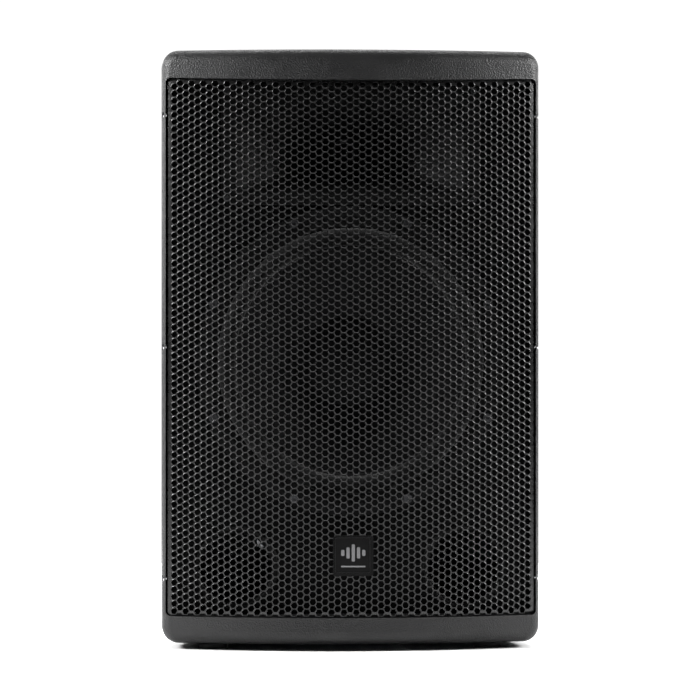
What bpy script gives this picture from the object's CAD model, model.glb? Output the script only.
from math import asin, cos, pi, radians, sin, sqrt

import bmesh
import bpy
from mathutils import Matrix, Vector


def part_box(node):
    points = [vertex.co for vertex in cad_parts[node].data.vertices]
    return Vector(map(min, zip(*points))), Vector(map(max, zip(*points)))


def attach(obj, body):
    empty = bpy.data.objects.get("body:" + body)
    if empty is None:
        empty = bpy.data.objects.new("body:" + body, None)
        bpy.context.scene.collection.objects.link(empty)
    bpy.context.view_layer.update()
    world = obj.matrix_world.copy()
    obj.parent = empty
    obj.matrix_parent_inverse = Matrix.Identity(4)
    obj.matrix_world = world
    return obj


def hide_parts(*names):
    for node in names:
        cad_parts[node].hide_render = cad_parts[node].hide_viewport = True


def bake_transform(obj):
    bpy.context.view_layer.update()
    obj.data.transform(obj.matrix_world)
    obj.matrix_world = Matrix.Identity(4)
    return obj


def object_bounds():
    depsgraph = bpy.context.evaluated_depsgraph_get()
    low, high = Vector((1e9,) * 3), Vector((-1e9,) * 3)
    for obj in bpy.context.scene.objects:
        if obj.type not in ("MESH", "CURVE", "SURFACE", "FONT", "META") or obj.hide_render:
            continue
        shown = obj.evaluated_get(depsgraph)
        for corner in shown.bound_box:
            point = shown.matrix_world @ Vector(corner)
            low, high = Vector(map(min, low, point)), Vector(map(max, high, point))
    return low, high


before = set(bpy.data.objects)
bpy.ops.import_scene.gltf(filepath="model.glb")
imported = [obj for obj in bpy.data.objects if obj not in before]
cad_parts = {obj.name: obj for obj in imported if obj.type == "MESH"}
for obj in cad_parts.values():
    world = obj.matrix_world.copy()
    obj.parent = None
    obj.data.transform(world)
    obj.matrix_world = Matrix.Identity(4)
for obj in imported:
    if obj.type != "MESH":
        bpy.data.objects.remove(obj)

# A powered PA loudspeaker, looked at straight from the front. Lengths are metres.

cad_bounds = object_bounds()
MM = 0.001
FRONT = cad_bounds[0][1]
HEIGHT = cad_bounds[1][2]

# The bowed grille sheet
GRILLE_LOW, GRILLE_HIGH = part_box("grille")
GRILLE_CURVE = 457 * MM
SHEET = 1.2 * MM
FOLD_RADIUS = 2.0 * MM
FOLD_STEPS = 5
COLUMNS = 60
ROWS = 75
COLUMN_PITCH = 6.18 * MM
TOP_BOW = 4.2 * MM
EDGE_MARGIN = 0.3 * MM
HOLE_SHARE = 0.82
CORNER_ROUNDING = 3 * MM

# Woofer, with depths that run forward from the baffle's face
BAFFLE_Y = -118 * MM
WOOFER_Z = 288 * MM

FLOOR_RADIUS = 1.3
GLOW_REACH = 1.0
GLOW_NEAR, GLOW_FAR = 0.35, 1.0
WORLD_STRENGTH = 0.03

CAMERA_DISTANCE = 3.6
CAMERA_SIDE = -0.19
CAMERA_LENS = 187
CAMERA_HEIGHT = 0.3065
CAMERA_AIM_DEPTH = -0.11


# ---------- small helpers ----------


def new_object(name, mesh):
    obj = bpy.data.objects.new(name, mesh)
    bpy.context.scene.collection.objects.link(obj)
    return obj


def mesh_from(name, verts, faces, smooth=True):
    mesh = bpy.data.meshes.new(name)
    mesh.from_pydata(verts, [], faces)
    mesh.update()
    mesh.polygons.foreach_set("use_smooth", [smooth] * len(mesh.polygons))
    return new_object(name, mesh)


class Nodes:
    """A material with a Principled shader, and short ways to add nodes to it."""

    def __init__(self, name):
        self.material = bpy.data.materials.new(name)
        self.material.use_nodes = True
        self.tree = self.material.node_tree
        self.shader = self.tree.nodes["Principled BSDF"]
        self.place = self.add("ShaderNodeTexCoord").outputs["Object"]

    def add(self, kind, **settings):
        node = self.tree.nodes.new(kind)
        for key, value in settings.items():
            setattr(node, key, value)
        return node

    def link(self, source, target):
        self.tree.links.new(source, target)

    def noise(self, scale, detail=4.0, roughness=0.55, stretch=(1, 1, 1)):
        """Soft noise from 0 to 1. The scale is in cells per metre."""
        mapping = self.add("ShaderNodeMapping")
        mapping.inputs["Scale"].default_value = stretch
        self.link(self.place, mapping.inputs["Vector"])
        node = self.add("ShaderNodeTexNoise")
        node.inputs["Scale"].default_value = scale
        node.inputs["Detail"].default_value = detail
        node.inputs["Roughness"].default_value = roughness
        self.link(mapping.outputs["Vector"], node.inputs["Vector"])
        return node.outputs["Fac"]

    def cells(self, scale, feature="F1"):
        """Distance to the nearest of many scattered points."""
        node = self.add("ShaderNodeTexVoronoi", feature=feature)
        node.inputs["Scale"].default_value = scale
        self.link(self.place, node.inputs["Vector"])
        return node.outputs["Distance"]

    def remap(self, value, low, high, start=0.3, end=0.7):
        """The value taken from start..end to low..high."""
        node = self.add("ShaderNodeMapRange")
        node.inputs["From Min"].default_value = start
        node.inputs["From Max"].default_value = end
        node.inputs["To Min"].default_value = low
        node.inputs["To Max"].default_value = high
        self.link(value, node.inputs["Value"])
        return node.outputs["Result"]

    def blend_colours(self, factor, first, second):
        node = self.add("ShaderNodeMix", data_type="RGBA")
        node.inputs["A"].default_value = (*first, 1)
        node.inputs["B"].default_value = (*second, 1)
        self.link(factor, node.inputs["Factor"])
        return node.outputs["Result"]

    def bump(self, height, distance, strength=1.0, below=None):
        node = self.add("ShaderNodeBump")
        node.inputs["Strength"].default_value = strength
        node.inputs["Distance"].default_value = distance
        self.link(height, node.inputs["Height"])
        if below is not None:
            self.link(below, node.inputs["Normal"])
        return node.outputs["Normal"]

    def within(self, axis, middle, half):
        """1 where the place on the axis is within half of the middle, and 0 outside."""
        split = self.add("ShaderNodeSeparateXYZ")
        self.link(self.place, split.inputs["Vector"])
        node = self.add("ShaderNodeMath", operation="COMPARE")
        self.link(split.outputs[axis], node.inputs[0])
        node.inputs[1].default_value = middle
        node.inputs[2].default_value = half
        return node.outputs["Value"]

    def multiply(self, first, second):
        node = self.add("ShaderNodeMath", operation="MULTIPLY")
        self.link(first, node.inputs[0])
        self.link(second, node.inputs[1])
        return node.outputs["Value"]

    def darker_inside(self, colour, low, high, shade):
        """The colour and the gleam dimmed where the surface is inside the box."""
        inside = None
        for axis in range(3):
            part = self.within("XYZ"[axis], (low[axis] + high[axis]) / 2, (high[axis] - low[axis]) / 2)
            inside = part if inside is None else self.multiply(inside, part)
        node = self.add("ShaderNodeVectorMath", operation="SCALE")
        self.link(colour, node.inputs[0])
        self.link(self.remap(inside, 1.0, shade, 0.0, 1.0), node.inputs["Scale"])
        gleam = self.remap(inside, 0.42, 0.06, 0.0, 1.0)
        self.link(gleam, self.shader.inputs["Specular IOR Level"])
        return node.outputs["Vector"]

    def base(self, colour, normal=None, roughness=None, metallic=0.0):
        self.link(colour, self.shader.inputs["Base Color"])
        if normal is not None:
            self.link(normal, self.shader.inputs["Normal"])
        if roughness is not None:
            self.link(roughness, self.shader.inputs["Roughness"])
        self.shader.inputs["Metallic"].default_value = metallic
        return self.material


def tone(colour, factor):
    return tuple(channel * factor for channel in colour)


# ---------- materials ----------


def grained_plastic(name, colour, grain, depth, rough_low, rough_high):
    """Moulded plastic with a leather-like grain, faint mottling and a few rubbed patches."""
    m = Nodes(name)
    mottle = m.noise(18, 5)
    speck = m.noise(1400, 2)
    colour_mix = m.blend_colours(m.remap(mottle, 0, 1), tone(colour, 0.92), tone(colour, 1.08))
    pebbles = m.bump(m.cells(grain, "SMOOTH_F1"), depth, 0.8)
    fine = m.bump(speck, depth * 0.35, 0.6, below=pebbles)
    rough = m.remap(m.noise(60, 6), rough_low, rough_high)
    return m.base(colour_mix, fine, rough)


def powder_coat(name, colour, rough_low=0.36, rough_high=0.5):
    """Painted metal with the fine orange peel of powder coat."""
    m = Nodes(name)
    colour_mix = m.blend_colours(m.remap(m.noise(40, 4), 0, 1), tone(colour, 0.8), tone(colour, 1.25))
    peel = m.bump(m.noise(1700, 3), 0.00006, 0.7)
    rough = m.remap(m.noise(220, 4), rough_low, rough_high)
    return m.base(colour_mix, peel, rough)


def brushed_metal(name, colour, rough=0.32, stretch=(1, 1, 40)):
    """Metal with fine straight scratches and a little tarnish."""
    m = Nodes(name)
    colour_mix = m.blend_colours(m.remap(m.noise(25, 4), 0, 1), tone(colour, 0.78), tone(colour, 1.05))
    scratches = m.noise(160, 3, stretch=stretch)
    rough_mix = m.remap(scratches, rough * 0.8, rough * 1.3)
    return m.base(colour_mix, m.bump(scratches, 0.00002, 0.5), rough_mix, metallic=1.0)


def smooth_plastic(name, colour, rough=0.3):
    """Plain moulded plastic: nearly smooth, with faint flow marks and handling dulling."""
    m = Nodes(name)
    colour_mix = m.blend_colours(m.remap(m.noise(50, 3), 0, 1), tone(colour, 0.88), tone(colour, 1.15))
    flow = m.bump(m.noise(350, 3), 0.00004, 0.4)
    rough_mix = m.remap(m.noise(120, 5), rough * 0.85, rough * 1.25)
    return m.base(colour_mix, flow, rough_mix)


def soft_rubber(name, colour):
    m = Nodes(name)
    colour_mix = m.blend_colours(m.remap(m.noise(70, 5), 0, 1), tone(colour, 0.8), tone(colour, 1.5))
    pores = m.bump(m.cells(2200), 0.00005, 0.5)
    return m.base(colour_mix, pores, m.remap(m.noise(90), 0.7, 0.92))


def pulp_paper(name, colour):
    """Pressed paper fibre, with short fibres and soft clouds of tone."""
    m = Nodes(name)
    clouds = m.noise(35, 6)
    fibres = m.noise(900, 5, stretch=(1, 0.4, 2.2))
    colour_mix = m.blend_colours(m.remap(clouds, 0, 1), tone(colour, 0.75), tone(colour, 1.35))
    return m.base(colour_mix, m.bump(fibres, 0.00015, 0.7), m.remap(fibres, 0.62, 0.85))


def woven_cloth(name, colour, threads=900.0):
    """Cloth with two crossing sets of threads."""
    m = Nodes(name)
    heights = []
    for direction in ("X", "Z"):
        wave = m.add("ShaderNodeTexWave", bands_direction=direction)
        wave.inputs["Scale"].default_value = threads / (2 * pi)
        wave.inputs["Distortion"].default_value = 0.6
        m.link(m.place, wave.inputs["Vector"])
        heights.append(wave.outputs["Fac"])
    weave = m.add("ShaderNodeMath", operation="MAXIMUM")
    m.link(heights[0], weave.inputs[0])
    m.link(heights[1], weave.inputs[1])
    colour_mix = m.blend_colours(weave.outputs["Value"], tone(colour, 0.6), tone(colour, 1.2))
    m.shader.inputs["Sheen Weight"].default_value = 0.25
    return m.base(colour_mix, m.bump(weave.outputs["Value"], 0.0001, 0.6), m.remap(m.noise(80), 0.7, 0.9))


def wound_wire(name, colour, turns_per_metre, metallic):
    """Turns of wire or tape lying side by side."""
    m = Nodes(name)
    wave = m.add("ShaderNodeTexWave", bands_direction="Y")
    wave.inputs["Scale"].default_value = turns_per_metre / (2 * pi)
    wave.inputs["Distortion"].default_value = 0.8
    m.link(m.place, wave.inputs["Vector"])
    colour_mix = m.blend_colours(wave.outputs["Fac"], tone(colour, 0.5), tone(colour, 1.1))
    turns = m.bump(wave.outputs["Fac"], 0.0002, 0.8)
    return m.base(colour_mix, turns, m.remap(m.noise(60), 0.25, 0.5), metallic)


def stone_ferrite(name, colour):
    m = Nodes(name)
    colour_mix = m.blend_colours(m.remap(m.noise(300, 6), 0, 1), tone(colour, 0.7), tone(colour, 1.4))
    return m.base(colour_mix, m.bump(m.noise(900, 6), 0.0001, 0.6), m.remap(m.noise(150), 0.45, 0.7))


def circuit_board(name, colour):
    """Green laminate with paler copper tracks under the lacquer."""
    m = Nodes(name)
    tracks = m.add("ShaderNodeTexBrick")
    tracks.inputs["Scale"].default_value = 90
    tracks.inputs["Mortar Size"].default_value = 0.04
    tracks.inputs["Color1"].default_value = (*tone(colour, 0.8), 1)
    tracks.inputs["Color2"].default_value = (*colour, 1)
    tracks.inputs["Mortar"].default_value = (*tone(colour, 2.2), 1)
    mapping = m.add("ShaderNodeMapping")
    mapping.inputs["Rotation"].default_value = (pi / 2, 0, 0)
    m.link(m.place, mapping.inputs["Vector"])
    m.link(mapping.outputs["Vector"], tracks.inputs["Vector"])
    relief = m.bump(tracks.outputs["Fac"], 0.0001, 0.4)
    return m.base(tracks.outputs["Color"], relief, m.remap(m.noise(80), 0.25, 0.4))


def soft_wadding(name, colour):
    m = Nodes(name)
    wisps = m.noise(260, 8, 0.7)
    colour_mix = m.blend_colours(m.remap(wisps, 0, 1), tone(colour, 0.7), tone(colour, 1.1))
    m.shader.inputs["Sheen Weight"].default_value = 0.5
    return m.base(colour_mix, m.bump(wisps, 0.002, 0.8), m.remap(wisps, 0.85, 1.0))


def lit_lens(name, colour, glow):
    m = Nodes(name)
    colour_mix = m.blend_colours(m.remap(m.noise(900), 0, 1), tone(colour, 0.8), colour)
    m.link(colour_mix, m.shader.inputs["Emission Color"])
    m.shader.inputs["Emission Strength"].default_value = glow
    return m.base(colour_mix, m.bump(m.noise(1500), 0.00002, 0.3), m.remap(m.noise(400), 0.12, 0.2))


def recess_plastic(name, colour):
    """The front shell: grained on the outside, matt black paint inside the recess."""
    m = Nodes(name)
    mottle = m.blend_colours(m.remap(m.noise(18, 5), 0, 1), tone(colour, 0.9), tone(colour, 1.1))
    pebbles = m.bump(m.cells(760, "SMOOTH_F1"), 0.0005, 1.0)
    fine = m.bump(m.noise(1400, 2), 0.0001, 0.6, below=pebbles)
    reach = 0.9 * MM
    low = (GRILLE_LOW[0] - reach, BAFFLE_Y - 10 * MM, GRILLE_LOW[2] - reach)
    high = (GRILLE_HIGH[0] + reach, BAFFLE_Y + 20 * MM, GRILLE_HIGH[2] + reach)
    return m.base(m.darker_inside(mottle, low, high, 0.15), fine, m.remap(m.noise(60, 6), 0.42, 0.56))


def matt_inside(material):
    """A surface that gives back almost no gleam."""
    material.node_tree.nodes["Principled BSDF"].inputs["Specular IOR Level"].default_value = 0.12
    return material


BLACK = (0.019, 0.019, 0.0195)
front_plastic = recess_plastic("front_plastic", BLACK)
cabinet_plastic = grained_plastic("cabinet_plastic", BLACK, 760, 0.0005, 0.46, 0.58)
horn_plastic = matt_inside(grained_plastic("horn_plastic", tone(BLACK, 0.3), 1100, 0.00008, 0.5, 0.62))
grille_coat = powder_coat("grille_coat", tone(BLACK, 0.3), 0.24, 0.34)
panel_coat = powder_coat("panel_coat", tone(BLACK, 1.3), 0.42, 0.58)
frame_coat = powder_coat("frame_coat", (0.05, 0.05, 0.052))
dark_screw = brushed_metal("dark_screw", (0.08, 0.08, 0.085), 0.4)
bright_steel = brushed_metal("bright_steel", (0.62, 0.62, 0.64), 0.3)
sheet_zinc = brushed_metal("sheet_zinc", (0.66, 0.67, 0.7), 0.38, (30, 1, 1))
heatsink_black = brushed_metal("heatsink_black", (0.055, 0.055, 0.06), 0.45, (1, 1, 30))
emblem_metal = brushed_metal("emblem_metal", (0.2, 0.2, 0.205), 0.42, (30, 1, 1))
brass = brushed_metal("brass", (0.78, 0.58, 0.28), 0.3)
badge_black = matt_inside(smooth_plastic("badge_black", tone(BLACK, 0.45), 0.4))
connector_black = smooth_plastic("connector_black", (0.028, 0.028, 0.03), 0.33)
knob_black = soft_rubber("knob_black", (0.03, 0.03, 0.031))
foot_rubber = soft_rubber("foot_rubber", (0.02, 0.02, 0.02))
seal_foam = soft_rubber("seal_foam", (0.012, 0.012, 0.012))
cone_paper = matt_inside(pulp_paper("cone_paper", (0.007, 0.007, 0.0075)))
surround_cloth = matt_inside(woven_cloth("surround_cloth", (0.006, 0.006, 0.0062)))
basket_coat = matt_inside(powder_coat("basket_coat", (0.008, 0.008, 0.0085), 0.5, 0.65))
inner_rubber = matt_inside(soft_rubber("inner_rubber", (0.006, 0.006, 0.006)))
spider_cloth = woven_cloth("spider_cloth", (0.42, 0.25, 0.1), 1300.0)
coil_copper = wound_wire("coil_copper", (0.75, 0.36, 0.18), 4000, 1.0)
winding_tape = wound_wire("winding_tape", (0.6, 0.45, 0.04), 900, 0.0)
former_amber = smooth_plastic("former_amber", (0.5, 0.26, 0.06), 0.25)
ferrite = stone_ferrite("ferrite", (0.05, 0.05, 0.055))
titanium = brushed_metal("titanium", (0.6, 0.58, 0.56), 0.25)
board_green = circuit_board("board_green", (0.02, 0.13, 0.05))
lead_red = smooth_plastic("lead_red", (0.4, 0.02, 0.02), 0.4)
wadding_white = soft_wadding("wadding_white", (0.6, 0.6, 0.57))
led_lens = lit_lens("led_lens", (0.12, 0.75, 0.2), 1.2)

FINISHES = (
    (front_plastic, ("front_shell",)),
    (cabinet_plastic, ("rear_shell", "handles", "pole_socket")),
    (horn_plastic, ("horn", "ports")),
    (panel_coat, ("amp_panel",)),
    (basket_coat, ("woofer_basket",)),
    (frame_coat, ("driver_cover",)),
    (dark_screw, ("shell_screws", "woofer_screws", "horn_screws", "amp_screws", "housing_screws")),
    (bright_steel, ("grille_screws", "woofer_front_plate", "woofer_pole_yoke", "driver_plate")),
    (bright_steel, ("driver_top_plate", "driver_bolts", "input_latch_1", "input_latch_2")),
    (sheet_zinc, ("amp_chassis",)),
    (heatsink_black, ("heatsink",)),
    (emblem_metal, ("badge_emblem",)),
    (brass, ("terminals", "rigging_inserts")),
    (badge_black, ("badge_plate",)),
    (connector_black, ("pots", "input_jacks", "output_jack", "mains_inlet", "fuse_drawer")),
    (connector_black, ("switch_frame", "switch_rocker", "driver_phase_plug")),
    (knob_black, ("knob_1", "knob_2", "knob_3", "knob_4", "knob_5")),
    (foot_rubber, ("feet",)),
    (inner_rubber, ("woofer_trim_ring",)),
    (seal_foam, ("shell_seal", "gaskets")),
    (cone_paper, ("woofer_cone", "woofer_dust_cap")),
    (coil_copper, ("woofer_voice_coil",)),
    (former_amber, ("woofer_coil_former",)),
    (ferrite, ("woofer_magnet", "driver_magnet")),
    (titanium, ("driver_diaphragm",)),
    (board_green, ("circuit_boards",)),
    (winding_tape, ("transformer",)),
    (lead_red, ("speaker_leads",)),
    (led_lens, ("leds",)),
)

for material, names in FINISHES:
    for name in names:
        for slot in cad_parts[name].material_slots:
            slot.material = material


# ---------- grille ----------

SHEET_HALF = GRILLE_HIGH[0]
CURVE_CENTRE = FRONT + 3 * MM + GRILLE_CURVE
CELL = COLUMN_PITCH / 1.5
SHEET_LOW = GRILLE_LOW[2]
SHEET_HIGH = GRILLE_HIGH[2]
HALF_PITCH = (SHEET_HIGH - SHEET_LOW - 2 * EDGE_MARGIN) / (2 * ROWS + 1)
FOLD_TURN = asin((SHEET_HALF - FOLD_RADIUS) / (GRILLE_CURVE - FOLD_RADIUS))
FLANGE_BACK = -121 * MM


def on_arc(s, depth):
    """The place on the bowed sheet at distance s along it from the middle."""
    turn = s / GRILLE_CURVE
    radius = GRILLE_CURVE - depth
    return radius * sin(turn), CURVE_CENTRE - radius * cos(turn)


def on_fold(side, step, depth):
    """The place on the folded edge: steps round the bend, then the flange's end."""
    centre_x = SHEET_HALF - FOLD_RADIUS
    centre_y = CURVE_CENTRE - (GRILLE_CURVE - FOLD_RADIUS) * cos(FOLD_TURN)
    radius = FOLD_RADIUS - depth
    if step > FOLD_STEPS:
        return side * (centre_x + radius), FLANGE_BACK
    turn = FOLD_TURN + (pi / 2 - FOLD_TURN) * step / FOLD_STEPS
    return side * (centre_x + radius * sin(turn)), centre_y - radius * cos(turn)


def bowed_height(x, z):
    """Heights are squeezed slightly towards the middle, where the top bar dips."""
    dip = TOP_BOW * (1 - (x / SHEET_HALF) ** 2)
    return z - dip * (z - SHEET_LOW) / (SHEET_HIGH - SHEET_LOW)


def build_grille():
    """A folded sheet with rows of hexagonal holes, as one closed mesh."""
    verts = []
    faces = []
    lattice = {}
    first_s = -COLUMN_PITCH * (COLUMNS - 1) / 2
    first_z = SHEET_LOW + EDGE_MARGIN + HALF_PITCH

    def put(xy, z):
        verts.append((xy[0], xy[1], bowed_height(xy[0], z)))
        return len(verts) - 1

    def pair(s, z):
        """The front and back points of the sheet there."""
        return put(on_arc(s, 0), z), put(on_arc(s, SHEET), z)

    def corner(p, q):
        """A corner shared by neighbouring cells, found by its place in the lattice."""
        if (p, q) not in lattice:
            lattice[p, q] = pair(first_s + p * CELL / 2, first_z + q * HALF_PITCH)
        return lattice[p, q]

    def wall(a, b):
        """The strip between two front-back pairs, front and back."""
        faces.append((a[0], b[0], b[1], a[1]))

    def plate(a, b, c, d):
        """A four-sided patch of sheet, front and back, going round seen from the front."""
        faces.append((a[0], b[0], c[0], d[0]))
        faces.append((d[1], c[1], b[1], a[1]))

    ring = ((2, 0), (1, 1), (-1, 1), (-2, 0), (-1, -1), (1, -1))
    for column in range(COLUMNS):
        for row in range(ROWS):
            p = 3 * column
            q = 2 * row + column % 2
            s = first_s + p * CELL / 2
            z = first_z + q * HALF_PITCH
            outer = [corner(p + dp, q + dq) for dp, dq in ring]
            inner = [
                pair(s + dp * CELL / 2 * HOLE_SHARE, z + dq * HALF_PITCH * HOLE_SHARE) for dp, dq in ring
            ]
            for i in range(6):
                j = (i + 1) % 6
                plate(outer[i], outer[j], inner[j], inner[i])
                wall(inner[j], inner[i])

    # Chains of lattice corners along the four edges
    last = 3 * (COLUMNS - 1)
    low_chain, high_chain = [], []
    for column in range(COLUMNS):
        odd = column % 2
        for dp in (-1, 1):
            low_chain.append(corner(3 * column + dp, odd - 1))
            high_chain.append(corner(3 * column + dp, 2 * (ROWS - 1) + odd + 1))
    left_keys = [(-1 - (k + 1) % 2, k) for k in range(-1, 2 * ROWS)]
    right_keys = [(last + 1 + k % 2, k) for k in range(0, 2 * ROWS + 1)]
    left_chain = [corner(*key) for key in left_keys]
    right_chain = [corner(*key) for key in right_keys]

    def s_of(point):
        x, y, _ = verts[point[0]]
        return GRILLE_CURVE * asin(x / GRILLE_CURVE)

    low_edge = [pair(s_of(point), SHEET_LOW) for point in low_chain]
    high_edge = [pair(s_of(point), SHEET_HIGH) for point in high_chain]
    for i in range(len(low_chain) - 1):
        plate(low_edge[i], low_edge[i + 1], low_chain[i + 1], low_chain[i])
        wall(low_edge[i + 1], low_edge[i])
        plate(high_chain[i], high_chain[i + 1], high_edge[i + 1], high_edge[i])
        wall(high_edge[i], high_edge[i + 1])

    def fold_side(side, chain, keys, low_end, high_end):
        """The strip from the outermost cells round the fold to the flange's end."""
        heights = [SHEET_LOW] + [first_z + q * HALF_PITCH for _, q in keys] + [SHEET_HIGH]
        line = [low_end] + chain + [high_end]
        for step in range(1, FOLD_STEPS + 2):
            following = []
            for i, z in enumerate(heights):
                bend = min(step, FOLD_STEPS) / (FOLD_STEPS + 1)
                rounding = CORNER_ROUNDING * (1 - sqrt(max(0.0, 1 - bend**2)))
                if i == 0:
                    z = min(z + rounding, heights[1] - 0.2 * MM)
                if i == len(heights) - 1:
                    z = max(z - rounding, heights[-2] + 0.2 * MM)
                following.append((put(on_fold(side, step, 0), z), put(on_fold(side, step, SHEET), z)))
            for i in range(len(heights) - 1):
                if side > 0:
                    plate(line[i], following[i], following[i + 1], line[i + 1])
                else:
                    plate(following[i], line[i], line[i + 1], following[i + 1])
            for i, flip in ((0, side < 0), (len(heights) - 1, side > 0)):
                a, b = (line[i], following[i]) if flip else (following[i], line[i])
                wall(a, b)
            line = following
        for i in range(len(heights) - 1):
            a, b = (line[i], line[i + 1]) if side < 0 else (line[i + 1], line[i])
            wall(a, b)

    fold_side(-1, left_chain, left_keys, low_edge[0], high_edge[0])
    fold_side(1, right_chain, right_keys, low_edge[-1], high_edge[-1])
    return mesh_from("grille_sheet", verts, faces)


grille_sheet = build_grille()
grille_sheet.data.materials.append(grille_coat)
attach(grille_sheet, "cabinet")
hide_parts("grille")


# ---------- woofer's surround and spider ----------


def turned_ring(name, profile, steps=128):
    """A closed profile of (radius, forward) turned round the woofer's axis."""
    verts = []
    faces = []
    count = len(profile)
    for step in range(steps):
        turn = 2 * pi * step / steps
        for radius, forward in profile:
            verts.append((radius * cos(turn), BAFFLE_Y - forward, WOOFER_Z + radius * sin(turn)))
    for step in range(steps):
        ahead = (step + 1) % steps
        for i in range(count):
            j = (i + 1) % count
            faces.append((step * count + i, step * count + j, ahead * count + j, ahead * count + i))
    return mesh_from(name, verts, faces)


def thick_line(points, thickness):
    """A closed profile made by giving a line of points a thickness."""
    front = [(r * MM, f * MM) for r, f in points]
    back = [(r * MM, (f - thickness) * MM) for r, f in reversed(points)]
    return front + back


# The surround in millimetres: a strip glued on the cone, a half-round roll, and a strip on the frame
ROLL_CENTRE, ROLL_RADIUS, ROLL_BASE = 125.2, 8.8, 7.6
ROLL_STEPS = 20
SURROUND_THICKNESS = 0.7
CONE_STRIP = [(113.5, 1.2), (115.6, 1.3), (116.2, 3.4)]
FRAME_STRIP = [(136, 8.0), (142, 8.0)]

roll_turns = [pi * i / ROLL_STEPS for i in range(ROLL_STEPS + 1)]
roll = [(ROLL_CENTRE - ROLL_RADIUS * cos(turn), ROLL_BASE + ROLL_RADIUS * sin(turn)) for turn in roll_turns]
surround = turned_ring("surround_roll", thick_line(CONE_STRIP + roll + FRAME_STRIP, SURROUND_THICKNESS))
surround.data.materials.append(surround_cloth)
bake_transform(surround)
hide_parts("woofer_surround")

# The spider in millimetres: a corrugated disc from the coil's former out to the frame
WAVES = 5
WAVE_STEPS = WAVES * 10
WAVE_HEIGHT = 1.7
SPIDER_INNER, SPIDER_WIDTH = 38.0, 45.8
SPIDER_FORWARD, SPIDER_FALL = -59.5, 6.0
SPIDER_THICKNESS = 0.6

spider_line = []
for i in range(WAVE_STEPS + 1):
    share = i / WAVE_STEPS
    wave = WAVE_HEIGHT * sin(2 * pi * WAVES * share)
    spider_line.append((SPIDER_INNER + SPIDER_WIDTH * share, SPIDER_FORWARD - SPIDER_FALL * share + wave))
spider = turned_ring("spider_disc", thick_line(spider_line, SPIDER_THICKNESS))
spider.data.materials.append(spider_cloth)
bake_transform(spider)
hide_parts("woofer_spider")


# ---------- damping pads ----------


def soften(node, name, size, depth):
    """A lumpy copy of a CAD pad, standing for it."""
    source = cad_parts[node]
    obj = new_object(name, source.data.copy())
    obj.data.materials.clear()
    remesh = obj.modifiers.new("even", "REMESH")
    remesh.mode = "VOXEL"
    remesh.voxel_size = size
    texture = bpy.data.textures.new(name, "CLOUDS")
    texture.noise_scale = 0.02
    lumps = obj.modifiers.new("lumps", "DISPLACE")
    lumps.texture = texture
    lumps.strength = depth
    lumps.mid_level = 1.0
    graph = bpy.context.evaluated_depsgraph_get()
    mesh = bpy.data.meshes.new_from_object(obj.evaluated_get(graph))
    obj.modifiers.clear()
    obj.data = mesh
    return obj


damping = soften("damping", "damping_pads", 0.004, 0.003)
damping.data.materials.append(wadding_white)
damping.data.polygons.foreach_set("use_smooth", [True] * len(damping.data.polygons))
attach(damping, "cabinet")
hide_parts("damping")


# ---------- floor, lights and camera ----------


def stage_floor():
    """A pale floor that fades to plain white away from the object."""
    rim = [(FLOOR_RADIUS * cos(pi * i / 48), FLOOR_RADIUS * sin(pi * i / 48), 0) for i in range(96)]
    floor = mesh_from("floor", rim, [tuple(range(96))])
    m = Nodes("floor_white")
    distance = m.add("ShaderNodeVectorMath", operation="LENGTH")
    m.link(m.place, distance.inputs[0])
    glow = m.remap(distance.outputs["Value"], 0.0, GLOW_REACH, GLOW_NEAR, GLOW_FAR)
    m.link(glow, m.shader.inputs["Emission Strength"])
    m.shader.inputs["Emission Color"].default_value = (1, 1, 1, 1)
    m.shader.inputs["Base Color"].default_value = (0.82, 0.82, 0.82, 1)
    m.shader.inputs["Roughness"].default_value = 0.9
    m.shader.inputs["Specular IOR Level"].default_value = 0.0
    floor.data.materials.append(m.material)
    floor.visible_diffuse = False
    return floor


def stage_dome():
    """A white surround behind everything, seen but giving no light."""
    bpy.ops.mesh.primitive_uv_sphere_add(segments=48, ring_count=24, radius=30)
    dome = bpy.context.object
    dome.name = "backdrop"
    m = Nodes("backdrop_white")
    m.shader.inputs["Base Color"].default_value = (0, 0, 0, 1)
    m.shader.inputs["Emission Color"].default_value = (1, 1, 1, 1)
    m.shader.inputs["Emission Strength"].default_value = 1.1
    dome.data.materials.append(m.material)
    dome.visible_diffuse = False
    dome.visible_glossy = False
    dome.visible_transmission = False
    dome.visible_shadow = False
    return dome


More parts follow.
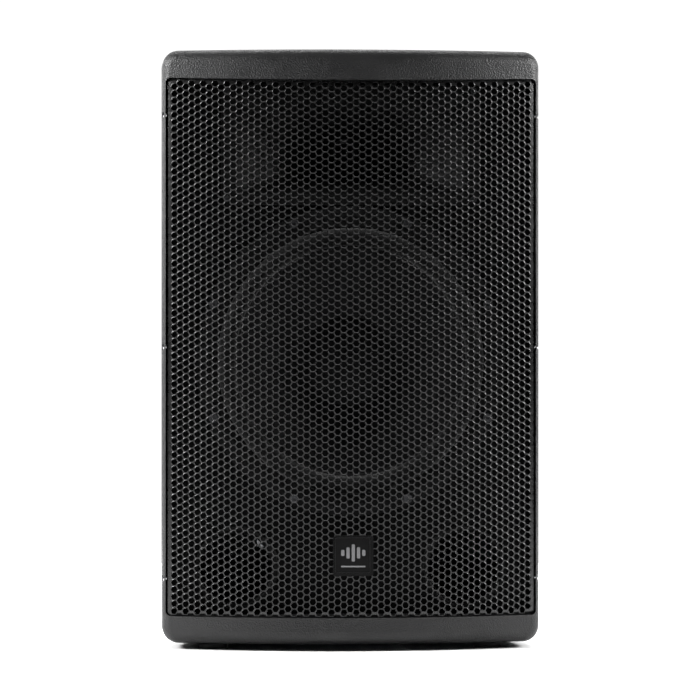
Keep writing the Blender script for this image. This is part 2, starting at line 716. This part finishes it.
def softbox(name, place, target, size, power):
    light = bpy.data.lights.new(name, "AREA")
    light.shape = "RECTANGLE"
    light.size, light.size_y = size
    light.energy = power
    obj = new_object(name, light)
    obj.location = place
    obj.rotation_euler = (Vector(target) - Vector(place)).to_track_quat("-Z", "Y").to_euler()
    return obj


floor = stage_floor()
stage_dome()
MIDDLE = (0, 0, HEIGHT / 2)
# Each light's name, place, aim, size in metres and watts
SOFTBOXES = (
    ("softbox_left", (-1.4, -0.34, 0.95), (-0.15, -0.1, 0.5), (0.4, 0.5), 44),
    ("softbox_right", (1.4, -0.34, 0.95), (0.15, -0.1, 0.5), (0.4, 0.5), 34),
    ("rim_top", (0, 0.9, 1.8), (0, 0, 0.6), (1.6, 0.5), 18),
    ("back_left", (-1.5, 1.7, 1.0), MIDDLE, (0.8, 1.2), 16),
    ("back_right", (1.5, 1.7, 1.0), MIDDLE, (0.8, 1.2), 16),
)
for softbox_settings in SOFTBOXES:
    softbox(*softbox_settings)
# This one lights only the floor
floor_light = softbox("floor_light", (0, 0.4, 2.6), (0, 0.4, 0), (3.2, 1.5), 200)
floor_only = bpy.data.collections.new("floor_only")
floor_only.objects.link(floor)
floor_light.light_linking.receiver_collection = floor_only

world = bpy.data.worlds.new("studio")
bpy.context.scene.world = world
world.use_nodes = True
background = world.node_tree.nodes["Background"]
background.inputs["Color"].default_value = (1, 1, 1, 1)
background.inputs["Strength"].default_value = WORLD_STRENGTH

camera = bpy.data.objects.new("camera", bpy.data.cameras.new("camera"))
bpy.context.scene.collection.objects.link(camera)
camera.data.lens = CAMERA_LENS
camera.data.sensor_width = 36
camera.data.clip_end = 100
camera_place = Vector((CAMERA_SIDE, FRONT - CAMERA_DISTANCE, CAMERA_HEIGHT))
camera_aim = Vector((0, CAMERA_AIM_DEPTH, CAMERA_HEIGHT))
camera.location = camera_place
camera.rotation_euler = (camera_aim - camera_place).to_track_quat("-Z", "Y").to_euler()
camera.data.shift_y = -0.0104
bpy.context.scene.camera = camera
bpy.context.scene.view_settings.view_transform = "Standard"
